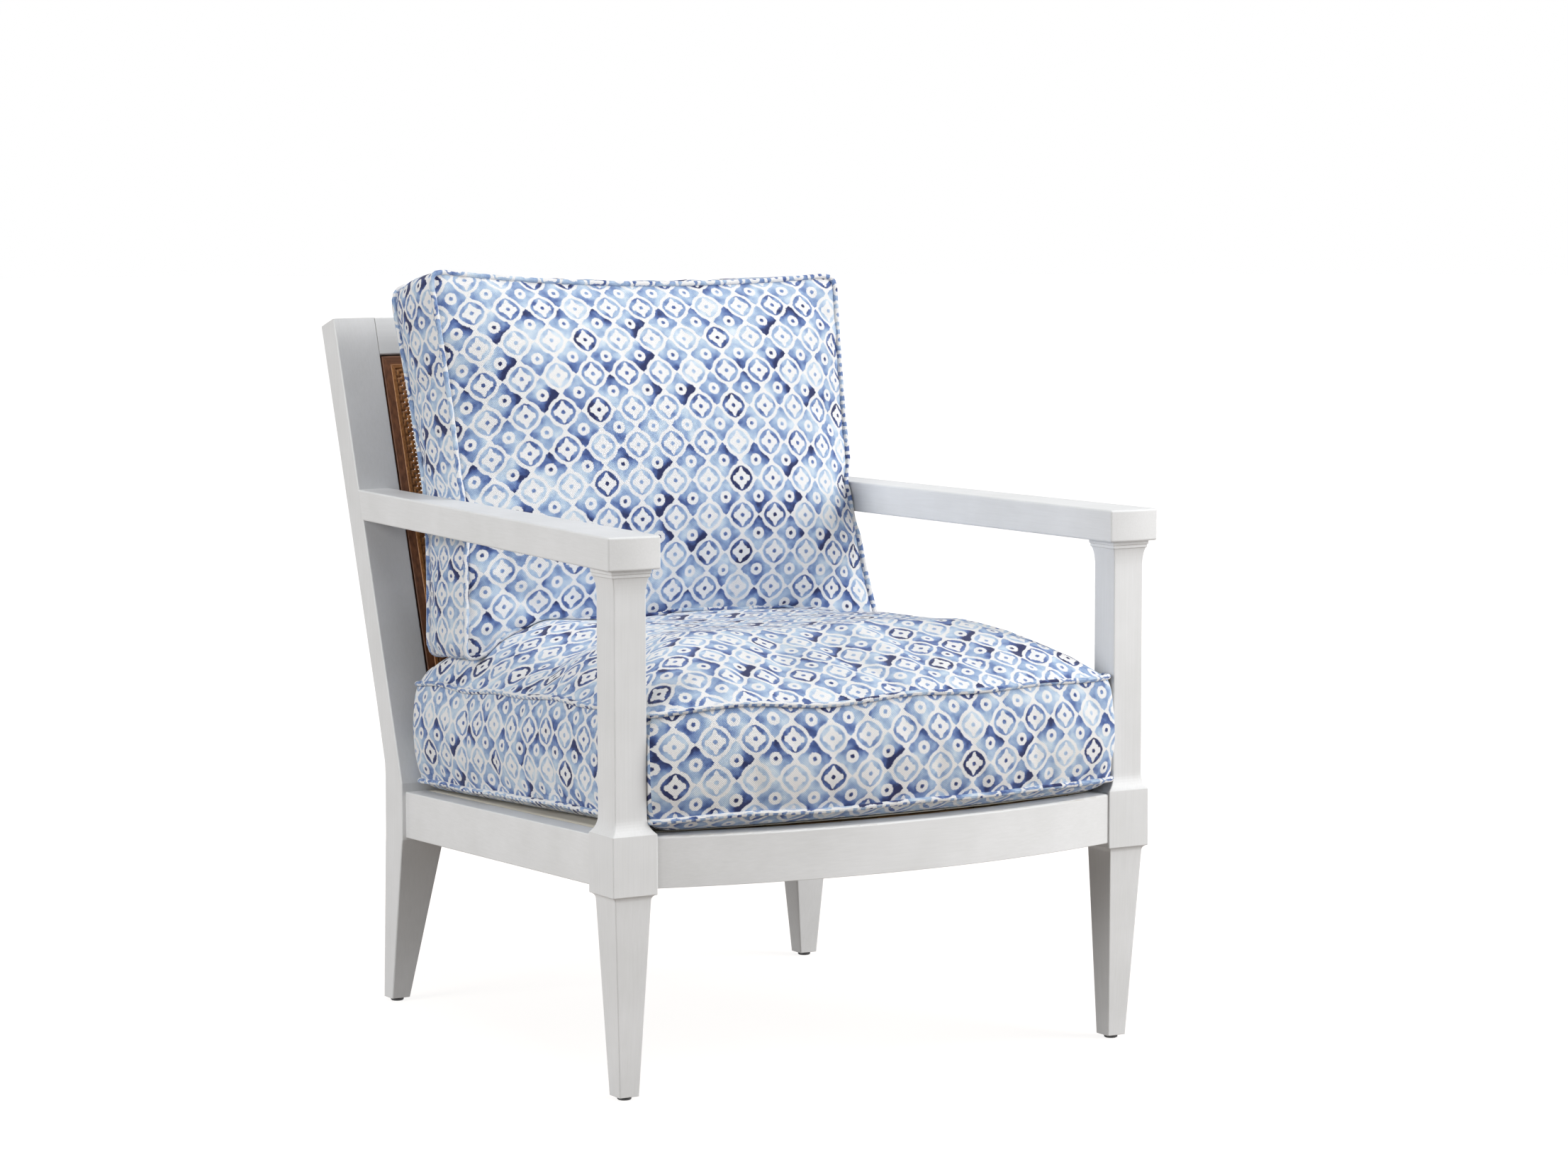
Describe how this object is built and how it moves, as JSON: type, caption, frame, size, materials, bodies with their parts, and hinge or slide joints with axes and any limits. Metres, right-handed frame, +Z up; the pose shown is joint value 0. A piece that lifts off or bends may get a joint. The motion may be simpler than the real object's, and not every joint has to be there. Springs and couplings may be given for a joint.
{
  "type": "upholstered armchair",
  "caption": "Upholstered lounge armchair with a painted wood show frame, an inset woven cane back panel, and loose boxed seat and back cushions with piped edges.",
  "frame": {"origin": "on the floor, midway between the sides and midway between the front of the seat cushion and the rear of the posts", "axes": "+Z up, +Y towards the back of the chair, +X towards the right as seen from the front"},
  "size_m": [0.7516, 0.9165, 0.9221],
  "materials": {
    "painted_wood": "brushed off-white satin paint with a faint glaze in the joints",
    "stained_wood": "dark brown stain under satin lacquer",
    "cane": "stained woven cane and spline",
    "bare_wood": "bare beech and plywood",
    "steel": "zinc plated",
    "glide": "moulded, dark grey",
    "webbing": "woven jute straps",
    "lining": "plain dark cloth",
    "printed_linen": "coarse linen printed with a white and indigo ring lattice",
    "cushion_filling": "foam wrapped in fibre",
    "zip": "nylon coil zip on cotton tape"
  },
  "bodies": {
    "frame": {"arm_dowels": "bare_wood", "arm_left": "painted_wood", "arm_right": "painted_wood", "arm_screw_plugs": "painted_wood", "arm_screws": "steel", "back_rail_bottom": "painted_wood", "back_rail_dowels": "bare_wood", "back_rail_top": "painted_wood", "cane_frame_bottom": "stained_wood", "cane_frame_left": "stained_wood", "cane_frame_right": "stained_wood", "cane_frame_top": "stained_wood", "cane_panel": "cane", "cane_spline_bottom": "cane", "cane_spline_left": "cane", "cane_spline_right": "cane", "cane_spline_top": "cane", "corner_block_front_left": "bare_wood", "corner_block_front_right": "bare_wood", "corner_block_rear_left": "bare_wood", "corner_block_rear_right": "bare_wood", "corner_block_screws": "steel", "deck_cover": "lining", "deck_screws": "steel", "deck_strip_front": "bare_wood", "deck_strip_left": "bare_wood", "deck_strip_rear": "bare_wood", "deck_strip_right": "bare_wood", "dust_cover": "lining", "front_leg_left": "painted_wood", "front_leg_right": "painted_wood", "glide_front_left": "glide", "glide_front_right": "glide", "glide_rear_left": "glide", "glide_rear_right": "glide", "panel_screws": "steel", "panel_stop_bottom": "painted_wood", "panel_stop_left": "painted_wood", "panel_stop_right": "painted_wood", "panel_stop_top": "painted_wood", "rear_post_left": "painted_wood", "rear_post_right": "painted_wood", "seat_rail_dowels": "bare_wood", "seat_rail_front": "painted_wood", "seat_rail_left": "painted_wood", "seat_rail_rear": "painted_wood", "seat_rail_right": "painted_wood", "webbing_crosswise": "webbing", "webbing_lengthwise": "webbing"},
    "seat_cushion": {"seat_cushion_cover": "printed_linen", "seat_cushion_core": "cushion_filling", "seat_cushion_zip": "zip", "seat_welts": "printed_linen"},
    "back_cushion": {"back_cushion_cover": "printed_linen", "back_cushion_core": "cushion_filling", "back_cushion_zip": "zip", "back_welts": "printed_linen"}
  },
  "joints": [
    {"name": "seat_cushion_slide", "type": "slide", "parent": "frame", "child": "seat_cushion", "axis": [0, -0.9987, 0.0518], "range_m": [0, 0.2]},
    {"name": "back_cushion_lift", "type": "slide", "parent": "seat_cushion", "child": "back_cushion", "axis": [0, 0, 1], "range_m": [0, 0.12]}
  ]
}
